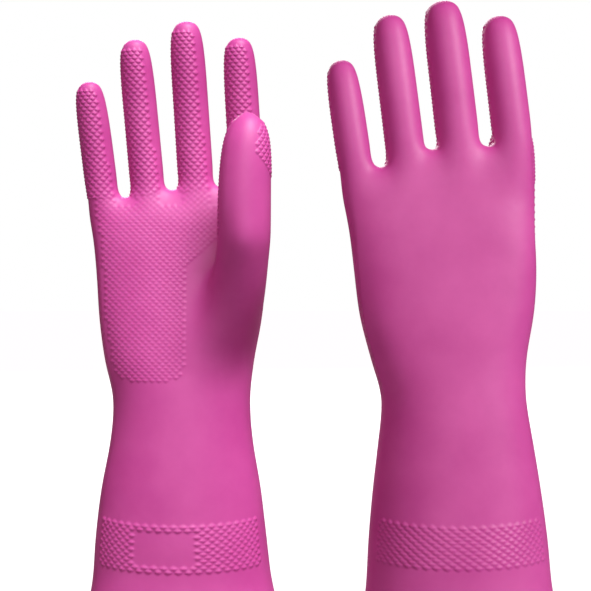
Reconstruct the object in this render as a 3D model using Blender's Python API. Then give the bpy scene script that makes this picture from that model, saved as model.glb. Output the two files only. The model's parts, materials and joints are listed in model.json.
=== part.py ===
"""A pair of flock-lined household rubber gloves, standing on their cuffs.

Each glove is one flexible latex skin with a cotton flock lining and a rolled rim. The skin and the lining are
divided where the glove bends, so that each zone is a piece of its own: cuff, hand, and two pieces to each digit.

World axes: +Z up, +X from the little finger to the index finger. The right-hand glove stands at -X with its palm
to -Y, the left-hand glove at +X with its palm to +Y. The origin is under the middle of the pair, on the floor.
"""

import math

import bmesh
import bpy
from mathutils import Matrix, Vector

MM = 0.001

# Thicknesses and gaps, in millimetres.
SKIN = 1.0
LINING = 0.5
SKIN_TO_LINING = 0.3
SEAM_GAP = 0.3
BEAD_RADIUS = 1.5
BEAD_HEIGHT = 2 * BEAD_RADIUS * math.sin(math.radians(60))
HINGE_OUT = 0.6  # a fold's axis outside the skin

# Heights that both gloves share, in millimetres.
WRIST_FOLD = 108.0
THUMB_BASE_SEAM = 196.0
THUMB_MID_SEAM = 226.0
ABOVE_WEB = 8.0  # a finger's lower seam above the web beside it
MID_SHARE = 0.44  # where a finger's middle seam lies, from its lower seam to its tip

FINGERS = ("little", "ring", "middle", "index")
COLUMNS = 12  # columns of cage points across the palm: three to a finger
ROWS = 3  # rows of cage points from the palm to the back
CORNER_SHARE = 0.38  # how far a finger's corner points stand from its middle, against its width
WIDEST_SHARE = 0.95  # the outermost column against the hand's half width

# Each glove's sizes, in millimetres, seen from the little-finger side at -X to the index side at +X, palm to -Y.
# stations: height, little-finger edge, index edge, depth of the palm side, depth of the back, squareness.
# fingers: middle of its foot along X, width, tip's X, tip's height.  webs: heights between the fingers.
GLOVES = {
    "right": {
        "place": (-68.2, 24.0),
        "palm": -1,
        "stations": [
            (0.0, -48.6, 49.0, 31.5, 31.5, 2.0),
            (9.0, -47.2, 47.6, 30.0, 30.0, 2.0),
            (34.0, -45.2, 44.2, 29.0, 29.0, 2.0),
            (62.0, -41.8, 40.8, 27.4, 27.4, 2.0),
            (88.0, -36.8, 36.4, 25.4, 25.4, 2.05),
            (108.0, -35.6, 35.2, 24.0, 23.5, 2.1),
            (128.0, -40.0, 37.4, 22.0, 21.5, 2.25),
            (150.0, -43.0, 41.0, 19.5, 19.5, 2.4),
            (172.0, -44.4, 42.6, 17.0, 17.0, 2.5),
            (191.0, -46.2, 43.2, 14.8, 14.8, 2.6),
            (204.0, -48.4, 43.6, 12.0, 12.0, 2.7),
        ],
        "webs": (213.0, 217.0, 218.5),
        "fingers": {
            "little": (-41.3, 16.4, -48.6, 273.5),
            "ring": (-17.6, 17.2, -24.8, 295.5),
            "middle": (7.6, 17.8, 2.1, 305.0),
            "index": (34.2, 17.2, 29.6, 296.5),
        },
        "thumb_shift": 0.0,
    },
    "left": {
        "place": (71.6, -24.0),
        "palm": 1,
        "stations": [
            (0.0, -46.6, 49.6, 31.5, 31.5, 2.0),
            (14.0, -45.4, 47.6, 30.0, 30.0, 2.0),
            (40.0, -43.9, 45.0, 29.0, 29.0, 2.0),
            (66.0, -41.6, 41.4, 27.4, 27.4, 2.0),
            (90.0, -38.8, 37.4, 25.4, 25.4, 2.05),
            (111.0, -37.2, 34.0, 24.0, 23.5, 2.1),
            (130.0, -42.4, 34.2, 22.0, 21.5, 2.25),
            (152.0, -48.2, 37.8, 19.5, 19.5, 2.4),
            (174.0, -51.0, 39.3, 17.0, 17.0, 2.5),
            (195.0, -53.6, 38.9, 14.8, 14.8, 2.6),
            (212.0, -57.0, 38.2, 12.0, 12.0, 2.7),
        ],
        "webs": (226.0, 232.0, 234.0),
        "fingers": {
            "little": (-50.3, 16.8, -58.2, 279.0),
            "ring": (-25.0, 18.8, -33.8, 301.7),
            "middle": (1.2, 20.8, -7.2, 308.7),
            "index": (28.4, 19.2, 20.9, 301.2),
        },
        "thumb_shift": -3.4,
    },
}

# The fingers' cage rings: share of the way from foot to tip, and radius against half the finger's width.
FINGER_RINGS = ((0.10, 1.02), (0.34, 1.0), (0.58, 0.99), (0.82, 0.93), (0.955, 0.66))
FINGER_CURL = 6.0  # how far a fingertip leans towards the palm
EIGHT_SIDED_SHRINK = 2 / 3 + math.cos(math.radians(45)) / 3  # a smoothed eight-sided ring against its cage

# The thumb's cage rings: middle (x, y, z), half width, half depth, and how far the ring has turned to face up.
THUMB_COLUMNS = (7, 11)
THUMB_STATIONS = (6, 9)
THUMB_RINGS = (
    ((26.0, -25.0, 160.0), 21.0, 20.5, 32.0),
    ((30.0, -33.5, 173.0), 17.0, 16.5, 60.0),
    ((32.8, -38.0, 190.0), 14.2, 14.0, 82.0),
    ((33.8, -39.5, 210.0), 13.5, 12.8, 89.0),
    ((34.4, -39.5, 230.0), 12.8, 12.0, 90.0),
    ((35.0, -38.8, 246.0), 10.6, 9.8, 92.0),
    ((35.3, -38.2, 254.0), 6.4, 6.0, 93.0),
)
THUMB_TIP_RISE = 3.4

LATEX_PINK = (0.640, 0.122, 0.381)
FLOCK_PINK = (0.830, 0.520, 0.640)


def clear_scene():
    for old in list(bpy.data.objects):
        bpy.data.objects.remove(old)


def material(name, colour, roughness):
    made = bpy.data.materials.new(name)
    made.use_nodes = True
    shader = made.node_tree.nodes["Principled BSDF"]
    shader.inputs["Base Color"].default_value = (*colour, 1.0)
    shader.inputs["Roughness"].default_value = roughness
    shader.inputs["Metallic"].default_value = 0.0
    return made


def to_disc(u, v):
    """A point of a square grid, each coordinate from -1 to 1, moved onto a round disc."""
    return u * math.sqrt(1 - v * v / 2), v * math.sqrt(1 - u * u / 2)


def ring_columns(glove):
    """Where the columns stand along X at the webs: each finger's two sides and middle."""
    xs = []
    for finger in FINGERS:
        foot, width, _, _ = glove["fingers"][finger]
        half = CORNER_SHARE * width
        xs += [foot - half, foot, foot + half]
    return xs


def station_points(glove, index):
    """The cage ring at one station: palm side from the little finger on, then the back, then the two edges."""
    z, low, high, palm, back, power = glove["stations"][index]
    middle, half = (low + high) / 2, (high - low) / 2
    settled = min(1.0, max(0.0, (index - 5) / (len(glove["stations"]) - 6)))
    front, rear = [], []
    for column, finger_x in enumerate(ring_columns(glove)):
        even = -math.cos(math.pi * (column + 1) / (COLUMNS + 1))
        share = (1 - settled) * even + settled * (finger_x - middle) / half
        share = max(-WIDEST_SHARE, min(WIDEST_SHARE, share))
        depth = (1 - abs(share) ** power) ** (1 / power)
        front.append(Vector((middle + half * share, -palm * depth, z)))
        rear.append(Vector((middle + half * share, back * depth, z)))
    return front, rear, Vector((low, 0, z)), Vector((high, 0, z))


def web_height(glove, column):
    webs = glove["webs"]
    finger, place = divmod(column, 3)
    left = webs[max(0, finger - 1)]
    right = webs[min(len(webs) - 1, finger)]
    return (left, (left + right) / 2, right)[place]


def web_points(glove):
    """The grid of points across the top of the hand, from which the fingers rise."""
    grid = {}
    for column, x in enumerate(ring_columns(glove)):
        finger = FINGERS[column // 3]
        half = glove["fingers"][finger][1] / 2
        side = column % 3 - 1
        for row in range(ROWS):
            u, v = to_disc(side, row - 1)
            y = 0.98 * half * v / EIGHT_SIDED_SHRINK
            grid[column, row] = Vector((x, y, web_height(glove, column)))
            if row == 1:
                grid[column, row].x = x + side * (0.5 - CORNER_SHARE) * 2 * half
    return grid


def hand_and_fingers(glove):
    """The outer surface as a coarse cage of four-sided faces, open at the rim. Faces are tagged by digit."""
    mesh = bmesh.new()
    tag = mesh.faces.layers.int.new("digit")
    top = {key: mesh.verts.new(point) for key, point in web_points(glove).items()}
    for column in range(COLUMNS - 1):
        for row in range(ROWS - 1):
            face = mesh.faces.new(
                (top[column, row], top[column + 1, row], top[column + 1, row + 1], top[column, row + 1])
            )
            face[tag] = column // 3 + 1 if column % 3 < 2 else 0

    above = [top[column, 0] for column in range(COLUMNS)] + [top[COLUMNS - 1, 1]]
    above += [top[column, 2] for column in reversed(range(COLUMNS))] + [top[0, 1]]
    thumb_faces = []
    for index in reversed(range(len(glove["stations"]))):
        front, rear, low, high = station_points(glove, index)
        below = [mesh.verts.new(point) for point in [*front, high, *reversed(rear), low]]
        for k in range(len(above)):
            after = (k + 1) % len(above)
            face = mesh.faces.new((below[k], below[after], above[after], above[k]))
            in_rows = THUMB_STATIONS[0] <= index < THUMB_STATIONS[1]
            if in_rows and THUMB_COLUMNS[0] <= k < THUMB_COLUMNS[1]:
                thumb_faces.append(face)
        above = below

    for number, finger in enumerate(FINGERS):
        grow_finger(mesh, tag, number, *glove["fingers"][finger])
    grow_thumb(mesh, tag, thumb_faces, glove["thumb_shift"])
    mesh.normal_update()
    return mesh


def grow_finger(mesh, tag, number, foot_x, width, tip_x, tip_z):
    """Extrudes a finger from its four faces of the web grid, one cage ring after another."""
    faces = [face for face in mesh.faces if face[tag] == number + 1]
    foot_z = sum(face.calc_center_median().z for face in faces) / len(faces)
    places = {}
    for face in faces:
        for vert in face.verts:
            places[vert] = None
    xs = sorted({round(vert.co.x, 3) for vert in places})
    middle = (xs[0] + xs[-1]) / 2
    reach = (xs[-1] - xs[0]) / 2
    for vert in places:
        side = round((vert.co.x - middle) / reach * 1.2)
        row = 0 if abs(vert.co.y) < 1e-6 else math.copysign(1, vert.co.y)
        places[vert] = (max(-1, min(1, side)), row)
    for share, radius in FINGER_RINGS:
        faces, places = extrude_patch(mesh, tag, faces, places, number + 1)
        z = foot_z + share * (tip_z - foot_z)
        x = foot_x + share * (tip_x - foot_x)
        y = -FINGER_CURL * share**2
        round_half = radius * width / 2 / EIGHT_SIDED_SHRINK
        lean = math.atan2(tip_x - foot_x, tip_z - foot_z)
        for vert, (side, row) in places.items():
            u, v = to_disc(side, row)
            across = round_half * u
            vert.co = (x + across * math.cos(lean), y + 0.97 * round_half * v, z - across * math.sin(lean))
    for vert, place in places.items():
        if place == (0, 0):
            vert.co = (tip_x, -FINGER_CURL, tip_z + 0.05 * (tip_z - z) + 1.6)


def grow_thumb(mesh, tag, faces, shift):
    """Extrudes the thumb from the palm's index side and turns it upwards."""
    columns = THUMB_COLUMNS[1] - THUMB_COLUMNS[0]
    rows = THUMB_STATIONS[1] - THUMB_STATIONS[0]
    for face in faces:
        face[tag] = 0
    places = {}
    for index, face in enumerate(faces):
        row, column = divmod(index, columns)
        corners = ((0, 1), (1, 1), (1, 0), (0, 0))
        for vert, (right, down) in zip(face.verts, corners):
            places[vert] = (2 * (column + right) / columns - 1, 2 * (row + down) / rows - 1)
    for number, (middle, half_width, half_depth, turned) in enumerate(THUMB_RINGS):
        faces, places = extrude_patch(mesh, tag, faces, places, 5 if number > 1 else 0)
        turn = math.radians(turned)
        # The patch's top edge ends up as the side of the thumb that faces the palm.
        up = Vector((0, math.sin(turn), math.cos(turn)))
        for vert, (side, down) in places.items():
            u, v = to_disc(side, down)
            vert.co = Vector(middle) + Vector((shift + half_width * u, 0, 0)) - up * (half_depth * v)
            last = number == len(THUMB_RINGS) - 1
            if last and max(abs(side), abs(down)) < 0.9:
                vert.co.z += THUMB_TIP_RISE


def extrude_patch(mesh, tag, faces, places, digit):
    """Extrudes joined faces and returns the new ones, with each new point's place on the patch."""
    old = [(vert.co.copy(), place) for vert, place in places.items()]
    made = bmesh.ops.extrude_face_region(mesh, geom=faces)["geom"]
    bmesh.ops.delete(mesh, geom=[face for face in faces if face.is_valid], context="FACES")
    new_verts = [item for item in made if isinstance(item, bmesh.types.BMVert)]
    new_faces = [item for item in made if isinstance(item, bmesh.types.BMFace)]
    for vert in new_verts:
        for face in vert.link_faces:
            face[tag] = digit
    return new_faces, {vert: min(old, key=lambda pair: (pair[0] - vert.co).length)[1] for vert in new_verts}


def pull_onto_smooth_surface(mesh):
    """Moves each cage point to where it lies on the cage's smoothed surface, and makes the faces triangles."""
    data = bpy.data.meshes.new("cage")
    mesh.to_mesh(data)
    cage = bpy.data.objects.new("cage", data)
    bpy.context.scene.collection.objects.link(cage)
    smooth = cage.modifiers.new("smooth", "SUBSURF")
    smooth.levels = smooth.render_levels = 2
    evaluated = cage.evaluated_get(bpy.context.evaluated_depsgraph_get())
    mesh.verts.ensure_lookup_table()
    for index, vert in enumerate(mesh.verts):
        vert.co = evaluated.data.vertices[index].co
    bpy.data.objects.remove(cage)
    bmesh.ops.triangulate(mesh, faces=mesh.faces)
    mesh.normal_update()


def finger_seams(glove, finger):
    """Two seams, each a point on the finger's middle line, the line's direction there and the skin's half depth."""
    foot_x, width, tip_x, tip_z = glove["fingers"][finger]
    number = FINGERS.index(finger)
    webs = glove["webs"]
    web = max(webs[max(0, number - 1)], webs[min(len(webs) - 1, number)])
    foot_z = web_height(glove, 3 * number + 1)
    lower = (web + ABOVE_WEB - foot_z) / (tip_z - foot_z)
    seams = []
    for share in (lower, lower + MID_SHARE * (1 - lower)):
        point = Vector((foot_x + share * (tip_x - foot_x), -FINGER_CURL * share**2, foot_z + share * (tip_z - foot_z)))
        along = Vector((tip_x - foot_x, -2 * FINGER_CURL * share, tip_z - foot_z)).normalized()
        seams.append((point, along, width / 2))
    return seams


def thumb_seams(glove):
    seams = []
    for height in (THUMB_BASE_SEAM, THUMB_MID_SEAM):
        below = max((ring for ring in THUMB_RINGS if ring[0][2] <= height), key=lambda ring: ring[0][2])
        above = min((ring for ring in THUMB_RINGS if ring[0][2] > height), key=lambda ring: ring[0][2])
        share = (height - below[0][2]) / (above[0][2] - below[0][2])
        point = Vector(below[0]).lerp(Vector(above[0]), share)
        half = below[1] + share * (above[1] - below[1])
        seams.append((point + Vector((glove["thumb_shift"], 0, 0)), Vector((0, 0, 1)), half))
    return seams


def digit_seams(glove):
    seams = {finger: finger_seams(glove, finger) for finger in FINGERS}
    seams["thumb"] = thumb_seams(glove)
    return seams


def two_walls(surface, outer_depth, inner_depth):
    """Two copies of the surface, sunk below it by the two depths, the inner one turned inside out."""
    walls = bmesh.new()
    tag = walls.faces.layers.int.new("digit")
    source = surface.faces.layers.int["digit"]
    for depth in (outer_depth, inner_depth):
        verts = {vert: walls.verts.new(vert.co - vert.normal * depth) for vert in surface.verts}
        for face in surface.faces:
            corners = [verts[vert] for vert in face.verts]
            made = walls.faces.new(corners if depth == outer_depth else reversed(corners))
            made[tag] = face[source]
    return walls


def cut(walls, point, direction, digits=None, drop_above=False):
    """Cuts the walls of these digits (all of them if none is named) on a plane and drops one side."""
    tag = walls.faces.layers.int["digit"]
    faces = [face for face in walls.faces if digits is None or face[tag] in digits]
    geom = set(faces)
    for face in faces:
        geom.update(face.verts)
        geom.update(face.edges)
    bmesh.ops.bisect_plane(
        walls, geom=list(geom), dist=0.02, plane_co=point, plane_no=direction,
        clear_outer=drop_above, clear_inner=not drop_above,
    )


def close_rim(walls, point, direction, reach):
    """Joins the outer wall's edge to the inner wall's edge on a plane, within reach of a point on it."""
    rim = [
        edge for edge in walls.edges
        if edge.is_boundary
        and all(abs((vert.co - point).dot(direction)) < 0.05 and (vert.co - point).length < reach for vert in edge.verts)
    ]
    bmesh.ops.bridge_loops(walls, edges=rim)


def add_node(name, mesh, finish, glove):
    """Moves a finished mesh to its glove's place, in metres, as a named object."""
    x, y = glove["place"]
    for vert in mesh.verts:
        vert.co = Vector((vert.co.x + x, -glove["palm"] * vert.co.y + y, vert.co.z)) * MM
    bmesh.ops.remove_doubles(mesh, verts=mesh.verts, dist=0.01 * MM)
    bmesh.ops.recalc_face_normals(mesh, faces=mesh.faces)
    data = bpy.data.meshes.new(name)
    mesh.to_mesh(data)
    mesh.free()
    data.shade_smooth()
    data.set_sharp_from_angle(angle=math.radians(40))
    data.materials.append(finish)
    made = bpy.data.objects.new(name, data)
    bpy.context.scene.collection.objects.link(made)
    return made


def finger_piece(surface, number, depths, low, high):
    """A digit's tube between two seams, or its closed tip where there is no upper seam."""
    walls = two_walls(surface, *depths)
    tag = walls.faces.layers.int["digit"]
    others = [face for face in walls.faces if face[tag] != number]
    bmesh.ops.delete(walls, geom=others, context="FACES")
    for seam, above in ((low, False), (high, True)):
        if seam is not None:
            point, along, half = seam
            place = point + along * (SEAM_GAP / 2) * (-1 if above else 1)
            cut(walls, place, along, drop_above=above)
            close_rim(walls, place, along, 2 * half)
    return walls


def hand_piece(surface, depths, seams):
    walls = two_walls(surface, *depths)
    up = Vector((0, 0, 1))
    for number, (base, _) in enumerate(seams.values(), start=1):
        point, along, half = base
        place = point - along * (SEAM_GAP / 2)
        cut(walls, place, along, digits=(number,), drop_above=True)
        close_rim(walls, place, along, 2 * half)
    wrist = Vector((0, 0, WRIST_FOLD + SEAM_GAP / 2))
    cut(walls, wrist, up)
    close_rim(walls, wrist, up, 200)
    return walls


def cuff_piece(surface, depths, foot):
    walls = two_walls(surface, *depths)
    up = Vector((0, 0, 1))
    top = Vector((0, 0, WRIST_FOLD - SEAM_GAP / 2))
    bottom = Vector((0, 0, foot))
    cut(walls, top, up, drop_above=True)
    close_rim(walls, top, up, 200)
    cut(walls, bottom, up)
    close_rim(walls, bottom, up, 200)
    return walls


def rim_bead(glove):
    """The rolled rim: a six-sided ring, flat underneath, that follows the cuff's lowest station."""
    front, rear, low, high = station_points(glove, 0)
    rim = [*front, high, *reversed(rear), low]
    middle = sum(rim, Vector()) / len(rim)
    bead = bmesh.new()
    rings = []
    for point in rim:
        out = (point - middle).normalized()
        ring = []
        for corner in range(6):
            angle = math.radians(60 * corner)
            reach = BEAD_RADIUS * math.cos(angle)
            height = BEAD_RADIUS * math.sin(angle) + BEAD_HEIGHT / 2
            ring.append(bead.verts.new(point + out * reach + Vector((0, 0, height))))
        rings.append(ring)
    for ring, after in zip(rings, rings[1:] + rings[:1]):
        for corner in range(6):
            nxt = (corner + 1) % 6
            bead.faces.new((ring[corner], ring[nxt], after[nxt], after[corner]))
    return bead


def add_hinge(name, glove, point, axis):
    """An empty on a joint's axis, its X along the axis."""
    x, y = glove["place"]
    flip = -glove["palm"]
    place = Vector((point.x + x, flip * point.y + y, point.z)) * MM
    along = Vector((axis.x, flip * axis.y, axis.z))
    made = bpy.data.objects.new(name, None)
    made.empty_display_size = 0.01
    made.matrix_world = Matrix.Translation(place) @ along.to_track_quat("X", "Z").to_matrix().to_4x4()
    bpy.context.scene.collection.objects.link(made)
    return made


def hang(node, hinge):
    """Parents a node to its hinge without moving it."""
    bpy.context.view_layer.update()
    node.parent = hinge
    node.matrix_parent_inverse = hinge.matrix_world.inverted()


def build_glove(side, glove, latex, flock):
    surface = hand_and_fingers(glove)
    pull_onto_smooth_surface(surface)
    seams = digit_seams(glove)
    skin = (0.0, SKIN)
    lining = (SKIN + SKIN_TO_LINING, SKIN + SKIN_TO_LINING + LINING)
    cuff_foot = BEAD_HEIGHT + SEAM_GAP

    add_node(f"{side}_cuff_bead", rim_bead(glove), latex, glove)
    add_node(f"{side}_cuff_shell", cuff_piece(surface, skin, cuff_foot), latex, glove)
    add_node(f"{side}_cuff_lining", cuff_piece(surface, lining, cuff_foot + 3.0), flock, glove)

    palm_side = Vector((0, -1, 0))
    wrist_depth = glove["stations"][5][3]
    wrist = add_hinge(f"{side}_wrist_bend", glove, Vector((0, -wrist_depth - HINGE_OUT, WRIST_FOLD)), Vector((1, 0, 0)))
    hang(add_node(f"{side}_hand_shell", hand_piece(surface, skin, seams), latex, glove), wrist)
    hang(add_node(f"{side}_hand_lining", hand_piece(surface, lining, seams), flock, glove), wrist)

    for number, (digit, (low, middle)) in enumerate(seams.items(), start=1):
        hinges = []
        for part, (point, along, half) in (("base", low), ("tip", middle)):
            out = half + HINGE_OUT
            if digit == "thumb" and part == "base":
                place, axis = point + Vector((out, 0, 0)), Vector((0, 1, 0))
            elif digit == "thumb":
                place, axis = point - palm_side * out, Vector((-1, 0, 0))
            else:
                place, axis = point + palm_side * out, Vector((along.z, 0, -along.x)).normalized()
            hinges.append(add_hinge(f"{side}_{digit}_{part}_bend", glove, place, axis))
        for part, (start, end), hinge in zip(("base", "tip"), ((low, middle), (middle, None)), hinges):
            for layer, depths, finish in (("shell", skin, latex), ("lining", lining, flock)):
                piece = finger_piece(surface, number, depths, start, end)
                hang(add_node(f"{side}_{digit}_{part}_{layer}", piece, finish, glove), hinge)
    surface.free()


def main():
    clear_scene()
    latex = material("pink_latex", LATEX_PINK, 0.38)
    flock = material("cotton_flock", FLOCK_PINK, 0.95)
    for side, glove in GLOVES.items():
        build_glove(side, glove, latex, flock)


main()
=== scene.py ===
"""The looks of a pair of pink flock-lined household gloves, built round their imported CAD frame."""

import json
import math

import bmesh
import bpy
import numpy as np
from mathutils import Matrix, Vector

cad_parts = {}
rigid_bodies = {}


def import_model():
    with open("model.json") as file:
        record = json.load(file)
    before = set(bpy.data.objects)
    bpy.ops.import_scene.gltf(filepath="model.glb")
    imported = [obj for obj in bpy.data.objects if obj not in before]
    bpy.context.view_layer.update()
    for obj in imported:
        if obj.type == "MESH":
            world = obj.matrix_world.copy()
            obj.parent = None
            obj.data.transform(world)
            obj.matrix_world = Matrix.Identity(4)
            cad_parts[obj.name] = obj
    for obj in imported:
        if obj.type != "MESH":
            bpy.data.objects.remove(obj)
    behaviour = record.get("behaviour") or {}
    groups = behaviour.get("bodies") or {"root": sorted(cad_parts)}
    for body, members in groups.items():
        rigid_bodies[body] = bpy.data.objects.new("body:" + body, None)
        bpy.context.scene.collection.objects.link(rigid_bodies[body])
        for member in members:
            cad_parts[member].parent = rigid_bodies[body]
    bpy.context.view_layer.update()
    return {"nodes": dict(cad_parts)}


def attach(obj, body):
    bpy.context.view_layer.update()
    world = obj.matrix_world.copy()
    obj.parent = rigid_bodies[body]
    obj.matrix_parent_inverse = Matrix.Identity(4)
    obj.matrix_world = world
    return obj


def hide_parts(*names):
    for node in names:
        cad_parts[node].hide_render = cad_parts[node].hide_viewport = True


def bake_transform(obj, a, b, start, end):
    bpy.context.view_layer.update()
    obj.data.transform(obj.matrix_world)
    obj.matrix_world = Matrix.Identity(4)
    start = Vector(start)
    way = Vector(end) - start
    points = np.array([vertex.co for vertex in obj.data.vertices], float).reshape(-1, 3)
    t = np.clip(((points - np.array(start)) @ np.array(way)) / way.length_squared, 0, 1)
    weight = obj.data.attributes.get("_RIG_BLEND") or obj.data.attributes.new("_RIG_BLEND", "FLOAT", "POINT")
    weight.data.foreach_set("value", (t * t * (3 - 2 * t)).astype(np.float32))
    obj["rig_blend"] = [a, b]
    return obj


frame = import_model()
MM = 0.001


# --------------------------------------------------------------------------------------------------
# Camera: a long lens, level, nearly a metre in front of the gloves and half way up them, so that both are
# seen without much perspective.

EYE = Vector((-8.84, -976.0, 162.0)) * MM
LENS_MM = 116.3

bpy.ops.object.camera_add(location=EYE, rotation=(math.radians(90), 0, 0))
camera = bpy.context.object
camera.data.lens = LENS_MM
camera.data.sensor_width = 36.0
camera.data.clip_end = 20.0
bpy.context.scene.camera = camera


# --------------------------------------------------------------------------------------------------
# The two gloves' shapes. A glove takes its shape from the glazed china hand that is dipped in latex: a round
# cuff, a flat palm, four fingers and a thumb in front of the palm. The left-hand one is its mirror image.
# Sizes are in millimetres, from the little finger's side at -X to the index side at +X, with the palm to -Y.

WRIST_FOLD = 108.0
FINGERS = ("little", "ring", "middle", "index")
COLUMNS = 12  # of the cage, across the palm: three for each finger
CORNER_SHARE = 0.44  # where a finger's outer columns stand, as a share of its width
WIDEST_SHARE = 0.95
FINGER_CURL = 6.0  # how far a fingertip leans towards the palm
CURL_POWER = 2.0
EIGHT_SIDED_SHRINK = 2 / 3 + math.cos(math.radians(45)) / 3  # what smoothing leaves of an eight-sided ring

# place: where the glove stands. palm: which way it looks along Y. webs: heights between the fingers.
# stations: height, little-finger edge, index edge, depth to the palm, depth to the back, squareness.
# fingers: middle of the foot along X, width, the tip's X and its height.
# band: lowest and highest row of the cuff's scales.  panel: its plain field, low X, high X, low Z, high Z.
GLOVES = {
    "right": {
        "place": (-68.2, 24.0),
        "palm": -1,
        "stations": [
            (0.0, -49.4, 50.2, 32.0, 32.0, 2.0),
            (9.0, -47.2, 47.6, 30.0, 30.0, 2.0),
            (34.0, -45.2, 44.2, 29.0, 29.0, 2.0),
            (62.0, -41.8, 40.8, 27.4, 27.4, 2.0),
            (88.0, -36.8, 36.4, 25.4, 25.4, 2.05),
            (108.0, -35.6, 35.2, 24.0, 23.5, 2.1),
            (128.0, -40.0, 37.4, 22.0, 21.5, 2.25),
            (150.0, -43.0, 41.0, 19.5, 19.5, 2.4),
            (172.0, -44.4, 42.6, 17.0, 17.0, 2.5),
            (191.0, -46.2, 43.2, 14.8, 14.8, 2.6),
            (204.0, -48.4, 43.6, 12.0, 12.0, 2.7),
        ],
        "webs": (213.0, 217.0, 218.5),
        "fingers": {
            "little": (-41.3, 16.4, -48.6, 273.5),
            "ring": (-17.6, 17.2, -24.8, 295.5),
            "middle": (7.6, 17.8, 2.1, 305.0),
            "index": (34.2, 17.2, 29.6, 296.5),
        },
        "thumb_shift": 0.0,
        "band": (20.5, 44.8),
        "panel": (-23.0, 9.0, 24.2, 41.4),
    },
    "left": {
        "place": (71.6, -24.0),
        "palm": 1,
        "stations": [
            (0.0, -47.4, 50.8, 32.0, 32.0, 2.0),
            (14.0, -45.4, 47.6, 30.0, 30.0, 2.0),
            (40.0, -43.9, 45.0, 29.0, 29.0, 2.0),
            (66.0, -41.6, 41.4, 27.4, 27.4, 2.0),
            (90.0, -38.8, 37.4, 25.4, 25.4, 2.05),
            (111.0, -37.2, 34.0, 24.0, 23.5, 2.1),
            (130.0, -42.4, 34.2, 22.0, 21.5, 2.25),
            (152.0, -48.2, 37.8, 19.5, 19.5, 2.4),
            (174.0, -51.0, 39.3, 17.0, 17.0, 2.5),
            (195.0, -53.6, 38.9, 14.8, 14.8, 2.6),
            (212.0, -57.0, 38.2, 12.0, 12.0, 2.7),
        ],
        "webs": (225.5, 234.5, 236.0),
        "fingers": {
            "little": (-50.3, 16.8, -58.2, 280.2),
            "ring": (-25.0, 18.8, -33.8, 302.9),
            "middle": (1.2, 20.8, -7.2, 310.0),
            "index": (28.4, 19.2, 20.9, 302.4),
        },
        "thumb_shift": -3.4,
        "band": (28.0, 50.5),
        "panel": None,
    },
}

# A finger's half width against its distance below the tip, from the dome down to the foot.
FINGER_PROFILE = (
    (0.0, 0.0), (0.8, 0.42), (2.5, 0.66), (5.5, 0.82),
    (10.0, 0.915), (16.0, 0.965), (24.0, 1.0), (90.0, 1.03),
)
FINGER_DOME = (14.0, 9.0, 5.0, 2.4, 0.7)  # the last rings, below the tip
STRAIGHT_FROM, STRAIGHT_TO = 9.0, 20.0  # the rings before them, above the foot and below the tip
FINGER_DEPTH = 0.97  # a finger's depth against its width
FOOT_HALF_DEPTH = 0.49  # half of its foot's, again against its width
DOME_RISE, THUMB_DOME_RISE = 0.9, 0.8  # how far the very end stands above the last ring
# The thumb's rings: their order, middle (x, y, z), half width, half depth, degrees turned from facing the
# palm's front to facing up, and how far the side next to the palm lags behind, which makes the web.
THUMB_LINE = (
    (0.0, 29.5, -24.0, 156.0, 15.5, 19.0, 30.0, 9.0),
    (1.0, 31.2, -32.5, 171.0, 14.8, 16.5, 58.0, 11.0),
    (2.0, 33.4, -38.0, 190.0, 13.5, 14.0, 82.0, 4.0),
    (3.0, 33.8, -39.5, 210.0, 13.3, 12.8, 89.0, 0.0),
    (4.0, 34.4, -39.5, 230.0, 12.6, 12.0, 90.0, 0.0),
    (5.0, 35.0, -38.8, 244.0, 10.4, 9.8, 92.0, 0.0),
    (5.6, 35.3, -38.2, 250.6, 7.2, 6.6, 93.0, 0.0),
    (6.0, 35.4, -38.0, 253.2, 3.6, 3.2, 93.0, 0.0),
)
THUMB_STEPS = (0.0, 0.5, 1.0, 1.5, 2.0, 2.4, 2.8, 3.2, 3.6, 4.0, 4.4, 4.8, 5.2, 5.6, 6.0)
THUMB_COLUMNS = (7, 11)
THUMB_HEIGHTS = (128.0, 191.0)
THUMB_ROWS = 8
THUMB_CROWN = 0.8  # the share of the last ring that makes the crown
LAG_POWER = 1.5
PATCH_SLACK = 0.1
ON_PALM = -2.0  # a patch face's middle lies this far to the palm's side, and its points half as far
ROW_STEP = 7.0  # cage rows on the hand and the fingers; each smoothing halves it
RIM_ROWS = (3.0, 1.2)
SMOOTHING_PULL = 1.0  # how far smoothing draws a cage ring in
ROOT_MIDDLE, ROOT_REACH = 20.0, 32.0  # the thumb's root along X
ROOT_LOW, ROOT_HIGH = 118.0, 200.0
THUMB_PROPER = (184.0, -22.0)  # above this height and in front of this depth is the thumb itself
ROOT_SMOOTHINGS = 12


def alone(piece):
    """Makes a piece the only selected object, and the active one."""
    for other in bpy.context.selected_objects:
        other.select_set(False)
    bpy.context.view_layer.objects.active = piece
    piece.select_set(True)


def read_between(rows, place):
    """The sizes at a place along a smooth curve through the given rows, which start with their places."""
    table = np.array(rows, float)
    along = table[:, 0]
    slopes = np.gradient(table, along, axis=0)
    i = int(np.clip(np.searchsorted(along, place) - 1, 0, len(along) - 2))
    span = along[i + 1] - along[i]
    t = (place - along[i]) / span
    start, end = table[i], table[i + 1]
    bend_in, bend_out = slopes[i] * span, slopes[i + 1] * span
    return (
        (2 * t**3 - 3 * t**2 + 1) * start + (t**3 - 2 * t**2 + t) * bend_in
        + (3 * t**2 - 2 * t**3) * end + (t**3 - t**2) * bend_out
    )


def to_disc(u, v):
    """A point of a square from -1 to 1 moved onto a round disc."""
    return u * math.sqrt(1 - v * v / 2), v * math.sqrt(1 - u * u / 2)


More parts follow.
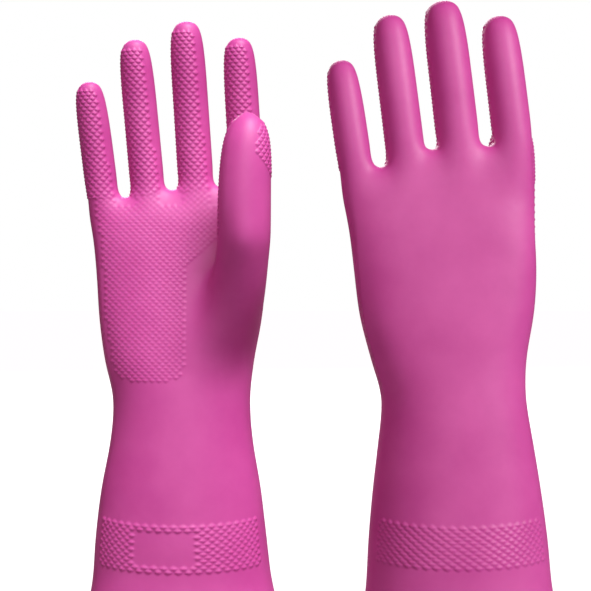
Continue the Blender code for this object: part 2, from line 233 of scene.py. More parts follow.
def finger_curl(share):
    """How far a finger has leant towards the palm, at a share of its length."""
    return FINGER_CURL * share**CURL_POWER


def finger_columns(glove):
    """Where the cage's columns stand along X at the webs: each finger's two sides and its middle."""
    xs = []
    for foot, width, _, _ in glove["fingers"].values():
        xs += [foot - CORNER_SHARE * width, foot, foot + CORNER_SHARE * width]
    return xs


def web_height(glove, column):
    """Height of the web at a column of the cage."""
    webs = glove["webs"]
    finger, place = divmod(column, 3)
    left, right = webs[max(0, finger - 1)], webs[min(len(webs) - 1, finger)]
    return (left, (left + right) / 2, right)[place]


def hand_ring(glove, z):
    """Cage points round the glove at a height: across the palm, the index edge, the back, the little edge."""
    _, low, high, palm, back, power = read_between(glove["stations"], z)
    low, high = low - SMOOTHING_PULL, high + SMOOTHING_PULL
    top = glove["stations"][-1][0]
    settled = min(1.0, max(0.0, (z - WRIST_FOLD) / (top - WRIST_FOLD)))
    middle, half = (low + high) / 2, (high - low) / 2
    front, rear = [], []
    for column, finger_x in enumerate(finger_columns(glove)):
        even = -math.cos(math.pi * (column + 1) / (COLUMNS + 1))
        share = (1 - settled) * even + settled * (finger_x - middle) / half
        share = max(-WIDEST_SHARE, min(WIDEST_SHARE, share))
        depth = (1 - abs(share) ** power) ** (1 / power)
        front.append(Vector((middle + half * share, -palm * depth, z)))
        rear.append(Vector((middle + half * share, back * depth, z)))
    return [*front, Vector((high, 0, z)), *reversed(rear), Vector((low, 0, z))]


def row_heights(glove):
    """Heights of the cage rows from the webs down to the rim, eight of them across the thumb's root."""
    top = glove["stations"][-1][0]
    low, high = THUMB_HEIGHTS
    above = np.linspace(top, high, 1 + math.ceil((top - high) / ROW_STEP))
    beside = np.linspace(high, low, THUMB_ROWS + 1)[1:]
    below = np.linspace(low, WRIST_FOLD, 4)[1:]
    cuff = np.linspace(WRIST_FOLD, 7.0, 12)[1:]
    return [*above, *beside, *below, *cuff, *RIM_ROWS]


def take_places(mesh, verts, places):
    """Notes on each point where it stands in its patch. Points that are extruded from it keep the note."""
    across, along = mesh.verts.layers.float["across"], mesh.verts.layers.float["along"]
    for vert, (u, v) in zip(verts, places):
        vert[across], vert[along] = u, v


def grow(piece, digit, put):
    """Extrudes what is selected and lets put() say where each new point goes, from its place in its patch."""
    bpy.ops.mesh.extrude_region_move(TRANSFORM_OT_translate={"value": (0, 0, 0)})
    mesh = bmesh.from_edit_mesh(piece.data)
    across, along = mesh.verts.layers.float["across"], mesh.verts.layers.float["along"]
    tag = mesh.faces.layers.int["digit"]
    for vert in mesh.verts:
        if vert.select:
            vert.co = put(vert[across], vert[along]) * MM
            for face in vert.link_faces:
                face[tag] = digit
    bmesh.update_edit_mesh(piece.data)


def pick_faces(piece, wanted):
    """In edit mode, selects just the faces that wanted() accepts."""
    bpy.ops.mesh.select_all(action="DESELECT")
    mesh = bmesh.from_edit_mesh(piece.data)
    for face in mesh.faces:
        if wanted(face):
            face.select_set(True)
    bmesh.update_edit_mesh(piece.data)
    return mesh


def model_form(side, glove):
    """The glove's whole outer surface as a cage of four-sided faces."""
    bpy.ops.mesh.primitive_grid_add(x_subdivisions=COLUMNS - 1, y_subdivisions=2, size=1)
    form = bpy.context.object
    form.name = f"{side}_form"
    alone(form)
    bpy.ops.object.mode_set(mode="EDIT")
    bpy.context.tool_settings.mesh_select_mode = (False, False, True)
    mesh = bmesh.from_edit_mesh(form.data)
    mesh.verts.layers.float.new("across")
    mesh.verts.layers.float.new("along")
    mesh.faces.layers.int.new("digit")
    columns = finger_columns(glove)
    widths = [width for _, width, _, _ in glove["fingers"].values()]
    for vert in mesh.verts:
        column = round((vert.co.x + 0.5) * (COLUMNS - 1))
        row = round(vert.co.y * 2)
        width, place = widths[column // 3], column % 3 - 1
        _, v = to_disc(place, row)
        x = columns[column] + (place * (0.5 - CORNER_SHARE) * width if row == 0 else 0.0)
        depth = FOOT_HALF_DEPTH * width * v / EIGHT_SIDED_SHRINK
        vert.co = Vector((x, depth, web_height(glove, column))) * MM
        ring_place = {-1: column, 0: COLUMNS if column else 2 * COLUMNS + 1, 1: 2 * COLUMNS - column}[row]
        take_places(mesh, [vert], [(ring_place, 0)])
    bmesh.update_edit_mesh(form.data)

    bpy.context.tool_settings.mesh_select_mode = (False, True, False)
    bpy.ops.mesh.select_all(action="SELECT")
    bpy.ops.mesh.region_to_loop()
    for z in row_heights(glove):
        ring = hand_ring(glove, z)
        grow(form, 0, lambda across, along, ring=ring: ring[round(across)])
    bpy.context.tool_settings.mesh_select_mode = (False, False, True)
    tag_feet(form, glove, columns, widths)

    for number, (finger, sizes) in enumerate(glove["fingers"].items(), start=1):
        grow_finger(form, number, sizes, web_height(glove, 3 * number - 2))
    grow_thumb(form, glove)
    bpy.ops.mesh.select_all(action="SELECT")
    bpy.ops.mesh.normals_make_consistent(inside=False)
    bpy.ops.object.mode_set(mode="OBJECT")
    return form


def tag_feet(form, glove, columns, widths):
    """Marks the faces on top of the hand from which each finger grows."""
    mesh = bmesh.from_edit_mesh(form.data)
    tag = mesh.faces.layers.int["digit"]
    top = glove["stations"][-1][0]
    for face in mesh.faces:
        face[tag] = 0
        middle = face.calc_center_median() / MM
        if min(vert.co.z for vert in face.verts) / MM > top + 1:
            for number, x in enumerate(columns[1::3], start=1):
                if abs(middle.x - x) < widths[number - 1] / 2:
                    face[tag] = number
    bmesh.update_edit_mesh(form.data)


def grow_finger(form, number, sizes, foot_z):
    """Draws a finger up from its four faces, ring by ring, to a rounded tip."""
    foot_x, width, tip_x, tip_z = sizes
    tag = bmesh.from_edit_mesh(form.data).faces.layers.int["digit"]
    mesh = pick_faces(form, lambda face: face[tag] == number)
    verts = [vert for vert in mesh.verts if vert.select]
    places = []
    for vert in verts:
        side = (vert.co.x / MM - foot_x) / (CORNER_SHARE * width)
        row = 0 if abs(vert.co.y) < 1e-6 else math.copysign(1, vert.co.y)
        places.append((0 if abs(side) < 0.5 else math.copysign(1, side), row))
    take_places(mesh, verts, places)
    bmesh.update_edit_mesh(form.data)

    length = tip_z - foot_z
    lean = math.atan2(tip_x - foot_x, length)
    straight = length - STRAIGHT_FROM - STRAIGHT_TO
    drops = [*np.linspace(length - STRAIGHT_FROM, STRAIGHT_TO, round(straight / ROW_STEP) + 1), *FINGER_DOME]
    for drop in drops:
        share = 1 - drop / length
        half = width / 2 * float(np.interp(drop, *zip(*FINGER_PROFILE))) / EIGHT_SIDED_SHRINK
        middle = Vector((foot_x + share * (tip_x - foot_x), -finger_curl(share), tip_z - drop))

        def put(across, along, middle=middle, half=half, last=drop == drops[-1]):
            u, v = to_disc(across, along)
            rise = DOME_RISE if last and across == 0 and along == 0 else 0.0
            tilt_x, tilt_z = half * u * math.cos(lean), half * u * math.sin(lean)
            return middle + Vector((tilt_x, FINGER_DEPTH * half * v, rise - tilt_z))

        grow(form, number, put)


def grow_thumb(form, glove):
    """Draws the thumb out of the palm's index side and turns it up until it stands in front of the palm."""
    low, high = THUMB_HEIGHTS
    first, last = THUMB_COLUMNS
    edge = [hand_ring(glove, z)[first].x for z in np.linspace(low, high, THUMB_ROWS + 1)]
    top = dict(zip(np.round(np.linspace(low, high, THUMB_ROWS + 1), 2), edge))

    def in_patch(face):
        if len(face.verts) != 4 or face.calc_center_median().y > ON_PALM * MM:
            return False
        for vert in face.verts:
            z = vert.co.z / MM
            if not low - PATCH_SLACK < z < high + PATCH_SLACK:
                return False
            near = top[min(top, key=lambda height: abs(height - z))]
            if vert.co.x / MM < near - PATCH_SLACK:
                return False
        return max(vert.co.y for vert in face.verts) < ON_PALM / 2 * MM

    mesh = pick_faces(form, in_patch)
    verts = [vert for vert in mesh.verts if vert.select]
    across = mesh.verts.layers.float["across"]
    places = []
    for vert in verts:
        side = 2 * (vert[across] - first) / (last - first) - 1
        places.append((side, 2 * (high - vert.co.z / MM) / (high - low) - 1))
    take_places(mesh, verts, places)
    bmesh.update_edit_mesh(form.data)
    for step in THUMB_STEPS:
        _, x, y, z, half_width, half_depth, turned, lag = read_between(THUMB_LINE, step)
        turn = math.radians(turned)
        middle = Vector((x + glove["thumb_shift"], y, z))
        up = Vector((0, math.sin(turn), math.cos(turn)))

        sizes = (middle, up, half_width, half_depth, max(0.0, lag), step == THUMB_STEPS[-1])

        def put(across, along, sizes=sizes):
            middle, up, wide, deep, lag, last = sizes
            u, v = to_disc(across, along)
            rise = THUMB_DOME_RISE if last and max(abs(u), abs(v)) < THUMB_CROWN else 0.0
            return middle + Vector((wide * u, lag * max(0.0, -u) ** LAG_POWER, rise)) - up * (deep * v)

        grow(form, 5 if step > 1.0 else 0, put)
    soften_root(form, glove)


def soften_root(form, glove):
    """Relaxes the cage where the thumb leaves the palm, so that the one runs into the other."""
    centre = ROOT_MIDDLE + glove["thumb_shift"]
    mesh = pick_faces(form, lambda face: False)
    bpy.context.tool_settings.mesh_select_mode = (True, False, False)
    for vert in mesh.verts:
        place = vert.co / MM
        near = abs(place.x - centre) < ROOT_REACH and place.y < -3 and ROOT_LOW < place.z < ROOT_HIGH
        on_thumb = place.z > THUMB_PROPER[0] and place.y < THUMB_PROPER[1]
        if near and not on_thumb:
            vert.select_set(True)
    bmesh.update_edit_mesh(form.data)
    bpy.ops.mesh.vertices_smooth(factor=0.5, repeat=ROOT_SMOOTHINGS)
    bpy.context.tool_settings.mesh_select_mode = (False, False, True)


# --------------------------------------------------------------------------------------------------
# Grip scales. The china hand is etched with staggered fish scales, and the latex that dries on it copies
# them on the palm, the finger fronts, the thumb's pad and a band on the cuff's front and back.

# For each kind: how far apart the scales stand, from one staggered row to the next, and how tall they are.
FINGER_SCALE = (3.8, 1.9, 0.56)
PALM_SCALE = (3.5, 1.6, 0.35)
BAND_SCALE = (4.4, 1.75, 0.60)
FINGER_SCALES_FROM, FINGER_SCALES_TO = math.radians(-100), math.radians(33)
FOOT_WIDENS, FOOT_HEIGHT = math.radians(12), 40.0  # a finger's scales spread further round it by its foot
PLAIN_TIP = 5.0
THUMB_ROUND = 12.5  # the thumb's radius
THUMB_WRAP = math.radians(97)  # how far round the thumb its scales reach on the palm's side
PAD_SIDE_FROM, PAD_SIDE_WRAP = math.radians(78), math.radians(72)  # an oval of scales on the outer side
PAD_SIDE_HEIGHT, PAD_SIDE_REACH = 236.0, 14.0
THUMB_FREE_FROM = 188.0
PAD_FOOT, PAD_TOP = 192.0, 249.5
PALM_PATCH_FOOT = 118.0
PALM_CORNER = 9.0
PALM_EDGE, PALM_EDGE_INDEX = 4.5, 5.0  # plain latex at the palm's two edges
THENAR_EDGE = 2.0  # where the patch ends beside the ball of the thumb, along X
THENAR_TOP, THENAR_CLIMB = 173.0, 18.0  # above this the palm's scales spread towards the index finger
THENAR_SPREAD, THENAR_BOW = 18.0, 1.6
WEB_PLAIN = 5.0  # how far the palm's scales climb between the fingers
FINGER_HALF = 0.40  # as a share of a finger's width, for the scales that run on from palm to finger
BAND_HALF_ARC = math.radians(64)
BAND_RISE = 5.0  # how much higher the band would be at the very side of the cuff
CUFF_ROUND = 38.0  # the radius that the band's scales are spaced on
CUFF_HALF_WIDTH = 45.0  # by which the panel is placed across the band
CREST = -0.12  # a scale is highest just below its middle
SIDE_SLOPE = 2.2  # how steeply a scale falls to its sides


def scales(u, v, size, inside):
    """Height of the scales at (u, v), leaving out those whose middles inside() turns down."""
    pitch, row, tall = size
    height = np.zeros_like(u)
    for shift in (0.0, 0.5):
        i = np.round(u / pitch - shift)
        j = np.round(v / (2 * row) - shift)
        a = np.abs(2 * (u / pitch - shift - i))
        b = 2 * (v / (2 * row) - shift - j)
        fall = np.where(b < CREST, (CREST - b) / (1 + CREST), (b - CREST) / (1 - CREST))
        roof = np.clip(np.minimum(1 - fall, SIDE_SLOPE * (1 - a - np.abs(b))), 0, None)
        held = inside((i + shift) * pitch, (j + shift) * 2 * row)
        height = np.maximum(height, np.where(held, tall * roof, 0.0))
    return height


def stations_at(glove, z):
    """The glove's two edges and two depths at each height."""
    rows = np.array(glove["stations"])
    return [np.interp(z, rows[:, 0], rows[:, k]) for k in range(1, 5)]


def palm_inside(glove):
    """The rule that says which scales belong to the palm's patch."""
    low_z = PALM_PATCH_FOOT
    feet = [(sizes[0], sizes[1]) for sizes in glove["fingers"].values()]
    top = glove["stations"][-1][0]
    shift = glove["thumb_shift"]

    def inside(x, z):
        low, high, _, _ = stations_at(glove, z)
        rise = np.clip((z - THENAR_TOP) / THENAR_CLIMB, 0, None) ** THENAR_BOW
        edge = np.minimum(THENAR_EDGE + shift + THENAR_SPREAD * rise, high - PALM_EDGE_INDEX)
        left = low + PALM_EDGE
        near_left = np.clip(left + PALM_CORNER - x, 0, None)
        near_right = np.clip(x - (edge - PALM_CORNER), 0, None)
        near_foot = np.clip(low_z + PALM_CORNER - z, 0, None)
        round_left = near_left**2 + near_foot**2 < PALM_CORNER**2
        round_right = (near_right**2 + near_foot**2 < PALM_CORNER**2) | (near_foot == 0)
        web_gap = np.ones_like(x, dtype=bool)
        for foot, width in feet:
            web_gap &= np.abs(x - foot) > FINGER_HALF * width
        below_top = np.where(web_gap, z < top + WEB_PLAIN, True)
        return (x > left) & (x < edge) & (z > low_z) & round_left & round_right & below_top

    return inside


def scale_field(glove, places, digits):
    """Scale height for each point, from its place in the glove and the digit it belongs to."""
    x, y, z = places.T
    height = np.zeros(len(x))
    front = (digits == 0) & (y < 0) & (z > WRIST_FOLD)
    height[front] = scales(x[front], z[front], PALM_SCALE, palm_inside(glove))
    for number, (finger, sizes) in enumerate(glove["fingers"].items(), start=1):
        foot_x, width, tip_x, tip_z = sizes
        foot_z = web_height(glove, 3 * number - 2)
        mine = digits == number
        share = (z[mine] - foot_z) / (tip_z - foot_z)
        out_x = x[mine] - (foot_x + share * (tip_x - foot_x))
        out_y = y[mine] + finger_curl(np.clip(share, 0, 1))
        turn = np.arctan2(out_x, -out_y)
        half = width / 2

        def inside(u, v, half=half, tip_z=tip_z, foot_z=foot_z):
            edge = FINGER_SCALES_TO + FOOT_WIDENS * np.clip(1 - (v - foot_z) / FOOT_HEIGHT, 0, 1)
            return (u > FINGER_SCALES_FROM * half) & (u < edge * half) & (v < tip_z - PLAIN_TIP)

        height[mine] = scales(turn * half, z[mine], FINGER_SCALE, inside)
    thumb = (digits == 5) & (z > THUMB_FREE_FROM)
    line = np.array([read_between(THUMB_LINE, s) for s in np.linspace(1.5, 6, 60)])
    out_x = x[thumb] - glove["thumb_shift"] - np.interp(z[thumb], line[:, 3], line[:, 1])
    out_y = y[thumb] - np.interp(z[thumb], line[:, 3], line[:, 2])
    turn = np.arctan2(out_x, out_y)

    def on_pad(u, v):
        oval = np.sqrt(np.clip(1 - ((v - PAD_SIDE_HEIGHT) / PAD_SIDE_REACH) ** 2, 0, None))
        outer = (PAD_SIDE_FROM + PAD_SIDE_WRAP * oval) * THUMB_ROUND
        return (u > -THUMB_WRAP * THUMB_ROUND) & (u < outer) & (v < PAD_TOP) & (v > PAD_FOOT)

    height[thumb] = scales(turn * THUMB_ROUND, z[thumb], FINGER_SCALE, on_pad)
    cuff = z < WRIST_FOLD
    low, high, palm, _ = stations_at(glove, z[cuff])
    middle, half = (low + high) / 2, (high - low) / 2
    for facing in (-1, 1):
        turn = np.arctan2((x[cuff] - middle) / half, facing * y[cuff] / palm)
        band_low, band_high = glove["band"]
        panel = glove["panel"] if facing == -1 else None

        def inside(u, v, panel=panel):
            held = (np.abs(u) < BAND_HALF_ARC * CUFF_ROUND) & (v > band_low) & (v < band_high)
            if panel is not None:
                across = CUFF_HALF_WIDTH * np.sin(u / CUFF_ROUND)
                held &= ~((across > panel[0]) & (across < panel[1]) & (v > panel[2]) & (v < panel[3]))
            return held

        level = z[cuff] - BAND_RISE * (1 - np.cos(turn))
        height[cuff] = np.maximum(height[cuff], scales(turn * CUFF_ROUND, level, BAND_SCALE, inside))
    return height


def point_digits(mesh):
    """The digit that each point belongs to, 0 for the hand and cuff."""
    tags = np.zeros(len(mesh.polygons), np.int32)
    mesh.attributes["digit"].data.foreach_get("value", tags)
    totals = np.zeros(len(mesh.polygons), np.int32)
    mesh.polygons.foreach_get("loop_total", totals)
    corners = np.zeros(len(mesh.loops), np.int32)
    mesh.loops.foreach_get("vertex_index", corners)
    digits = np.zeros(len(mesh.vertices), np.int32)
    np.maximum.at(digits, corners, np.repeat(tags, totals))
    return digits


def read_vectors(collection, key):
    """A mesh's places or normals as an array."""
    values = np.zeros(3 * len(collection), np.float32)
    collection.foreach_get(key, values)
    return values.reshape(-1, 3).astype(float)


def raise_scales(skin, glove):
    """Divides the skin finely where it has scales, then lifts them."""
    places = read_vectors(skin.data.vertices, "co") / MM
    field = scale_field(glove, places, point_digits(skin.data))
    near = {int(i) for i in np.nonzero(field > 0)[0]}
    alone(skin)
    bpy.ops.object.mode_set(mode="EDIT")
    bpy.context.tool_settings.mesh_select_mode = (False, False, True)
    pick_faces(skin, lambda face: any(vert.index in near for vert in face.verts))
    bpy.ops.mesh.select_more()
    bpy.ops.mesh.subdivide(number_cuts=1, smoothness=1.0)
    bpy.ops.object.mode_set(mode="OBJECT")
    places = read_vectors(skin.data.vertices, "co")
    normals = read_vectors(skin.data.vertices, "normal")
    height = scale_field(glove, places / MM, point_digits(skin.data))
    places += normals * (height * MM)[:, None]
    skin.data.vertices.foreach_set("co", places.astype(np.float32).ravel())
    skin.data.update()


# --------------------------------------------------------------------------------------------------
# Materials. The skin is natural rubber latex, dipped, cured and rinsed. The lining is cotton flock, blown
# onto wet adhesive on the inside of the skin.


def rgb(hexed):
    """A linear colour from an sRGB hex value."""
    parts = [int(hexed[i:i + 2], 16) / 255 for i in (1, 3, 5)]
    return (*(c / 12.92 if c <= 0.04045 else ((c + 0.055) / 1.055) ** 2.4 for c in parts), 1.0)


def add(tree, kind, links=(), **settings):
    """Adds a node. Settings in lower case are its properties, the others its inputs; links feed inputs."""
    node = tree.nodes.new(kind)
    for key, value in settings.items():
        if key[0].islower():
            setattr(node, key, value)
        else:
            node.inputs[key.replace("_", " ")].default_value = value
    for socket, source in links:
        tree.links.new(source, node.inputs[socket])
    return node


def new_material(name):
    """An empty material and its node tree."""
    made = bpy.data.materials.new(name)
    made.use_nodes = True
    made.node_tree.nodes.clear()
    return made, made.node_tree


def dipped_latex():
    """Dipped latex: satin, a little translucent, with a faint orange-peel and slightly paler patches."""
    made, tree = new_material("dipped_pink_latex")
    place = add(tree, "ShaderNodeTexCoord").outputs["Object"]
    cloudy = add(tree, "ShaderNodeTexNoise", [("Vector", place)], Scale=28.0, Detail=4.0, Roughness=0.55)
    mottle = add(tree, "ShaderNodeTexNoise", [("Vector", place)], Scale=420.0, Detail=3.0, Roughness=0.6)
    tint = add(tree, "ShaderNodeValToRGB", [("Fac", cloudy.outputs["Fac"])])
    tint.color_ramp.elements[0].position, tint.color_ramp.elements[0].color = 0.32, rgb("#c3489a")
    tint.color_ramp.elements[1].position, tint.color_ramp.elements[1].color = 0.70, rgb("#cf57a6")
    gloss = add(tree, "ShaderNodeMapRange", [("Value", mottle.outputs["Fac"])], To_Min=0.46, To_Max=0.58)
    peel = add(tree, "ShaderNodeBump", [("Height", mottle.outputs["Fac"])], Strength=0.12, Distance=0.0002)
    links = [
        ("Base Color", tint.outputs["Color"]),
        ("Roughness", gloss.outputs["Result"]),
        ("Normal", peel.outputs["Normal"]),
    ]
    shader = add(
        tree, "ShaderNodeBsdfPrincipled", links,
        IOR=1.52, Specular_IOR_Level=0.5, Subsurface_Weight=0.10, Subsurface_Scale=0.0012,
    )
    shader.inputs["Subsurface Radius"].default_value = (1.0, 0.35, 0.5)
    add(tree, "ShaderNodeOutputMaterial", [("Surface", shader.outputs["BSDF"])])
    return made


def cotton_flock():
    """Cotton flock: upright cut fibres half a millimetre long, matt, and paler at grazing angles."""
    made, tree = new_material("cotton_flock")
    place = add(tree, "ShaderNodeTexCoord").outputs["Object"]
    fibres = add(tree, "ShaderNodeTexNoise", [("Vector", place)], Scale=1800.0, Detail=2.0, Roughness=0.7)
    tint = add(tree, "ShaderNodeValToRGB", [("Fac", fibres.outputs["Fac"])])
    tint.color_ramp.elements[0].position, tint.color_ramp.elements[0].color = 0.3, rgb("#d58fb4")
    tint.color_ramp.elements[1].position, tint.color_ramp.elements[1].color = 0.7, rgb("#eec3d6")
    nap = add(tree, "ShaderNodeBump", [("Height", fibres.outputs["Fac"])], Strength=0.5, Distance=0.0004)
    links = [("Base Color", tint.outputs["Color"]), ("Normal", nap.outputs["Normal"])]
    shader = add(
        tree, "ShaderNodeBsdfPrincipled", links, Roughness=0.95, Sheen_Weight=0.5, Sheen_Roughness=0.6,
    )
    add(tree, "ShaderNodeOutputMaterial", [("Surface", shader.outputs["BSDF"])])
    return made


latex = dipped_latex()
flock = cotton_flock()


# --------------------------------------------------------------------------------------------------
# Skin and lining. The latex skin is a millimetre thick, and the flock is glued to its inside. Both are
# divided where the glove folds, and each piece bends from the body below it to its own.

SKIN = 1.0
LINING = 0.5
LINING_DEPTH = 1.3  # from the glove's outside to the face of the flock
FOLD_ABOVE_WEB = 8.0  # a finger folds this far above its higher web
TIP_FOLD_SHARE = 0.44
THUMB_FOLDS = (196.0, 226.0)
THUMB_END = 256.0  # the height that a thumb's end bends over
SHARP = math.radians(50)  # a steeper edge than this isn't smoothed over
TIP_BEND_SHARE = 0.5  # how much of its own length a piece bends over
BASE_BEND_SHARE = 0.85
WRIST_BEND = 34.0
ON_PLANE = 0.05
RIM_REACH = 60.0


def smoothed(form, levels, name):
    """A smoothed copy of the form."""
    copy = form.copy()
    copy.data = form.data.copy()
    copy.name = name
    bpy.context.scene.collection.objects.link(copy)
    alone(copy)
    smooth = copy.modifiers.new("smooth", "SUBSURF")
    smooth.levels = smooth.render_levels = levels
    bpy.ops.object.modifier_apply(modifier=smooth.name)
    return copy


def finger_seams(glove, number):
    """Where a finger folds, at its foot and half way up: the place, the finger's direction and its end."""
    foot_x, _, tip_x, tip_z = list(glove["fingers"].values())[number - 1]
    webs = glove["webs"]
    web = max(webs[max(0, number - 2)], webs[min(len(webs) - 1, number - 1)])
    foot_z = web_height(glove, 3 * number - 2)
    across, up = tip_x - foot_x, tip_z - foot_z
    lower = (web + FOLD_ABOVE_WEB - foot_z) / up
    seams = []
    for share in (lower, lower + TIP_FOLD_SHARE * (1 - lower)):
        middle = Vector((foot_x + share * across, -finger_curl(share), foot_z + share * up))
        lean = CURL_POWER * finger_curl(share) / share
        along = Vector((across, -lean, up)).normalized()
        seams.append((middle, along, tip_z))
    return seams


def thumb_seams(glove):
    """Where the thumb folds, as for a finger."""
    seams = []
    for height in THUMB_FOLDS:
        step = min(np.linspace(0, 6, 601), key=lambda s: abs(read_between(THUMB_LINE, s)[3] - height))
        _, x, y, *_ = read_between(THUMB_LINE, step)
        middle = Vector((x + glove["thumb_shift"], y, height))
        seams.append((middle, Vector((0, 0, 1)), THUMB_END))
    return seams


def all_seams(glove):
    """The two folds of each digit."""
    seams = {finger: finger_seams(glove, number) for number, finger in enumerate(FINGERS, start=1)}
    seams["thumb"] = thumb_seams(glove)
    return seams


def sink(piece, depth):
    """Moves a surface inwards, along its own normals."""
    places = read_vectors(piece.data.vertices, "co")
    places -= read_vectors(piece.data.vertices, "normal") * depth * MM
    piece.data.vertices.foreach_set("co", places.astype(np.float32).ravel())
    piece.data.update()


def two_walls(outer, inner):
    """Joins an outer and an inner surface, the inner one turned to face the hand."""
    alone(inner)
    bpy.ops.object.mode_set(mode="EDIT")
    bpy.ops.mesh.select_all(action="SELECT")
    bpy.ops.mesh.flip_normals()
    bpy.ops.object.mode_set(mode="OBJECT")
    alone(outer)
    inner.select_set(True)
    bpy.ops.object.join()
    return outer


def split_above(walls, middle, along, digit, name):
    """Cuts a digit (or all, if digit is None) on a plane and makes what is above it a piece of its own."""
    alone(walls)
    bpy.ops.object.mode_set(mode="EDIT")
    bpy.context.tool_settings.mesh_select_mode = (False, False, True)
    tag = bmesh.from_edit_mesh(walls.data).faces.layers.int["digit"]
    pick_faces(walls, lambda face: digit is None or face[tag] == digit)
    bpy.ops.mesh.bisect(plane_co=middle * MM, plane_no=along, use_fill=False, threshold=0.00001)
    tag = bmesh.from_edit_mesh(walls.data).faces.layers.int["digit"]

    def above(face):
        height = (face.calc_center_median() - middle * MM).dot(along)
        return height > 0 and (digit is None or face[tag] == digit)

    pick_faces(walls, above)
    bpy.ops.mesh.separate(type="SELECTED")
    bpy.ops.object.mode_set(mode="OBJECT")
    made = [piece for piece in bpy.context.selected_objects if piece != walls][0]
    made.name = made.data.name = name
    for piece in (walls, made):
        close_rim(piece, middle, along)
    return made


def close_rim(piece, middle, along, off_plane=ON_PLANE):
    """Joins the outer and inner walls where they end on a plane."""
    alone(piece)
    bpy.ops.object.mode_set(mode="EDIT")
    bpy.context.tool_settings.mesh_select_mode = (False, True, False)
    bpy.ops.mesh.select_all(action="DESELECT")
    mesh = bmesh.from_edit_mesh(piece.data)
    place = middle * MM
    for edge in mesh.edges:
        if edge.is_boundary:
            on_plane = all(abs((vert.co - place).dot(along)) < off_plane * MM for vert in edge.verts)
            if on_plane and all((vert.co - place).length < RIM_REACH * MM for vert in edge.verts):
                edge.select_set(True)
    bmesh.update_edit_mesh(piece.data)
    bpy.ops.mesh.bridge_edge_loops()
    bpy.ops.object.mode_set(mode="OBJECT")


def stand_in_place(piece, glove):
    """Moves a finished piece from the form's own place to where its glove stands."""
    x, y = glove["place"]
    places = read_vectors(piece.data.vertices, "co")
    places[:, 0] += x * MM
    places[:, 1] = -glove["palm"] * places[:, 1] + y * MM
    piece.data.vertices.foreach_set("co", places.astype(np.float32).ravel())
    if glove["palm"] == 1:
        piece.data.flip_normals()
    piece.data.update()


def divide(walls, side, glove, layer, material):
    """Takes the two-walled glove apart at its folds, from the fingertips down."""
    cad_layer = {"skin": "shell", "flock": "lining"}[layer]
    cuff_body, hand_body = f"{side}_cuff", f"{side}_hand"
    for number, (digit, (low, middle)) in enumerate(all_seams(glove).items(), start=1):
        for part, seam in (("tip", middle), ("base", low)):
            place, along, end = seam
            piece = split_above(walls, place, along, number, f"{side}_{digit}_{part}_{layer}")
            length = end - place.z if part == "tip" else middle[0].z - low[0].z
            bend = (place, place + along * length * (TIP_BEND_SHARE if part == "tip" else BASE_BEND_SHARE))
            below = f"{side}_{digit}_base" if part == "tip" else hand_body
            dress(piece, glove, material, (below, f"{side}_{digit}_{part}"), bend, cad_layer)
    fold = Vector((0, 0, WRIST_FOLD))
    up = Vector((0, 0, 1))
    hand = split_above(walls, fold, up, None, f"{side}_hand_{layer}")
    bend = (fold, fold + up * WRIST_BEND)
    dress(hand, glove, material, (cuff_body, hand_body), bend, cad_layer)
    walls.name = walls.data.name = f"{side}_cuff_{layer}"
    close_rim(walls, Vector((0, 0, 0)), up, off_plane=10.0)
    dress(walls, glove, material, (cuff_body,), None, cad_layer)


def dress(piece, glove, material, bodies, bend, cad_layer):
    """Gives a piece its material, its place in the frame and its bend from one body to the next."""
    node = piece.name.rsplit("_", 1)[0] + "_" + cad_layer
    stand_in_place(piece, glove)
    piece.data.materials.clear()
    piece.data.materials.append(material)
    alone(piece)
    bpy.ops.object.shade_smooth_by_angle(angle=SHARP)
    x, y = glove["place"]
    if bend is None:
        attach(piece, bodies[0])
    else:
        start, end = (Vector((p.x + x, -glove["palm"] * p.y + y, p.z)) * MM for p in bend)
        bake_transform(piece, *bodies, start=start, end=end)
    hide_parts(node)


# --------------------------------------------------------------------------------------------------
# The bead, of the same latex: the cuff's edge is rolled on itself while it is wet, into a soft cord three
# millimetres thick that keeps the cuff from tearing.

BEAD_HALF = 1.45
BEAD_HEIGHT = 1.2  # the cord takes the cuff's outline at this height


def roll_bead(side, glove):
    """A round cord that follows the rim."""
    rim = hand_ring(glove, BEAD_HEIGHT)
    curve = bpy.data.curves.new(f"{side}_cuff_bead_roll", "CURVE")
    curve.dimensions = "3D"
    curve.resolution_u = 6
    curve.bevel_depth = BEAD_HALF * MM
    curve.bevel_resolution = 5
    line = curve.splines.new("NURBS")
    line.points.add(len(rim) - 1)
    for point, place in zip(line.points, rim):
        point.co = (*(Vector((place.x, place.y, BEAD_HALF)) * MM), 1.0)
    line.use_cyclic_u = True
    line.order_u = 4
    bead = bpy.data.objects.new(f"{side}_cuff_bead_roll", curve)
    bpy.context.scene.collection.objects.link(bead)
    alone(bead)
    bpy.ops.object.convert(target="MESH")
    bead = bpy.context.object
    stand_in_place(bead, glove)
    bead.data.materials.append(latex)
    bpy.ops.object.shade_smooth()
    bpy.ops.object.mode_set(mode="EDIT")
    bpy.ops.mesh.select_all(action="SELECT")
    bpy.ops.mesh.normals_make_consistent(inside=False)
    bpy.ops.object.mode_set(mode="OBJECT")
    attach(bead, f"{side}_cuff")
    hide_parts(f"{side}_cuff_bead")


OUTER_SMOOTHING, INNER_SMOOTHING = 3, 2

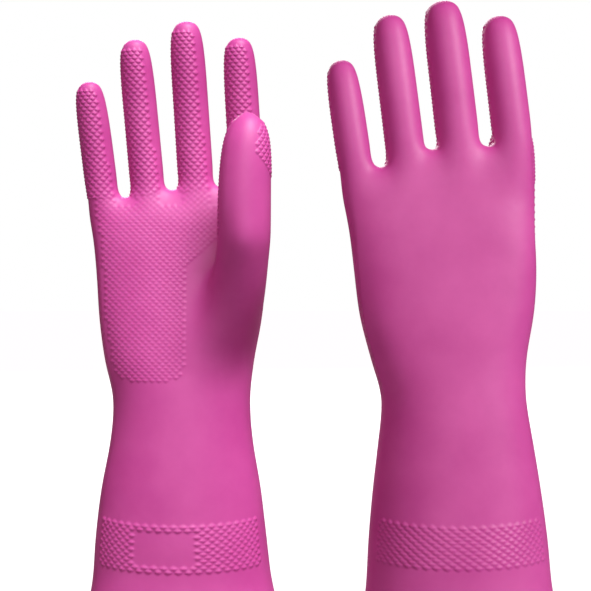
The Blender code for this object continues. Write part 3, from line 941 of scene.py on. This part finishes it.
for side, glove in GLOVES.items():
    form = model_form(side, glove)
    outer = smoothed(form, OUTER_SMOOTHING, f"{side}_outer")
    raise_scales(outer, glove)
    inner = smoothed(form, INNER_SMOOTHING, f"{side}_inner")
    sink(inner, SKIN)
    divide(two_walls(outer, inner), side, glove, "skin", latex)
    nap = smoothed(form, INNER_SMOOTHING, f"{side}_nap")
    sink(nap, LINING_DEPTH)
    backing = smoothed(form, INNER_SMOOTHING, f"{side}_backing")
    sink(backing, LINING_DEPTH + LINING)
    divide(two_walls(nap, backing), side, glove, "flock", flock)
    bpy.data.objects.remove(form)
    roll_bead(side, glove)


# --------------------------------------------------------------------------------------------------
# Floor, backdrop and lights: a white laminate table against white, a soft box on the right for each glove, a
# weak one in front, one behind, and a room whose light has taken on the gloves' pink.


def plain(name, colour, roughness):
    """A matt surface that looks evenly white from the camera and gives no light of its own."""
    made, tree = new_material(name)
    seen = add(tree, "ShaderNodeLightPath").outputs["Is Camera Ray"]
    glow = add(tree, "ShaderNodeMapRange", [("Value", seen)], To_Min=0.0, To_Max=0.97)
    shader = add(
        tree, "ShaderNodeBsdfPrincipled", [("Emission Strength", glow.outputs["Result"])],
        Base_Color=rgb(colour), Roughness=roughness, Emission_Color=rgb("#ffffff"),
    )
    add(tree, "ShaderNodeOutputMaterial", [("Surface", shader.outputs["BSDF"])])
    return made


bpy.ops.mesh.primitive_plane_add(size=400.0, location=(0, 0, -0.0002))
floor = bpy.context.object
floor.name = "floor"
floor.data.materials.append(plain("white_table", "#a0a0a0", 0.9))


def soft_box(name, place, aim, size, watts, lit=None):
    """A round soft box. Where lit is given, it lights only those pieces."""
    bpy.ops.object.light_add(type="AREA", location=place)
    lamp = bpy.context.object
    lamp.name = name
    lamp.data.shape = "DISK"
    lamp.data.size = size
    lamp.data.energy = watts
    lamp.rotation_euler = (Vector(aim) - Vector(place)).to_track_quat("-Z", "Y").to_euler()
    if lit is not None:
        lamp.light_linking.receiver_collection = lit
        lamp.light_linking.blocker_collection = lit


def gather(side):
    """A collection of one glove's visible pieces."""
    group = bpy.data.collections.new(f"{side}_glove")
    for piece in bpy.context.scene.objects:
        if piece.type == "MESH" and piece.name.startswith(side) and piece.name not in frame["nodes"]:
            group.objects.link(piece)
    return group


soft_box("key_right_glove", (0.75, -1.3, 2.7), (-0.07, 0.02, 0.15), 1.35, 130.0, gather("right"))
soft_box("key_left_glove", (1.9, -1.6, 1.5), (0.07, -0.02, 0.13), 1.0, 67.0, gather("left"))
soft_box("fill", (-0.15, -2.2, 1.2), (0, 0, 0.13), 1.2, 16.0)
soft_box("back", (-0.5, 2.3, 1.5), (0, 0, 0.15), 1.8, 55.0)

world = bpy.data.worlds.new("pale_room")
bpy.context.scene.world = world
world.use_nodes = True
room = world.node_tree
room.nodes.clear()
seen = add(room, "ShaderNodeLightPath").outputs["Is Camera Ray"]
walls = add(room, "ShaderNodeBackground", Color=rgb("#a8466c"), Strength=0.63)
backdrop = add(room, "ShaderNodeBackground", Color=rgb("#ffffff"), Strength=1.0)
mixed = add(room, "ShaderNodeMixShader", [(0, seen), (1, walls.outputs[0]), (2, backdrop.outputs[0])])
add(room, "ShaderNodeOutputWorld", [("Surface", mixed.outputs[0])])
bpy.context.scene.view_settings.view_transform = "Standard"
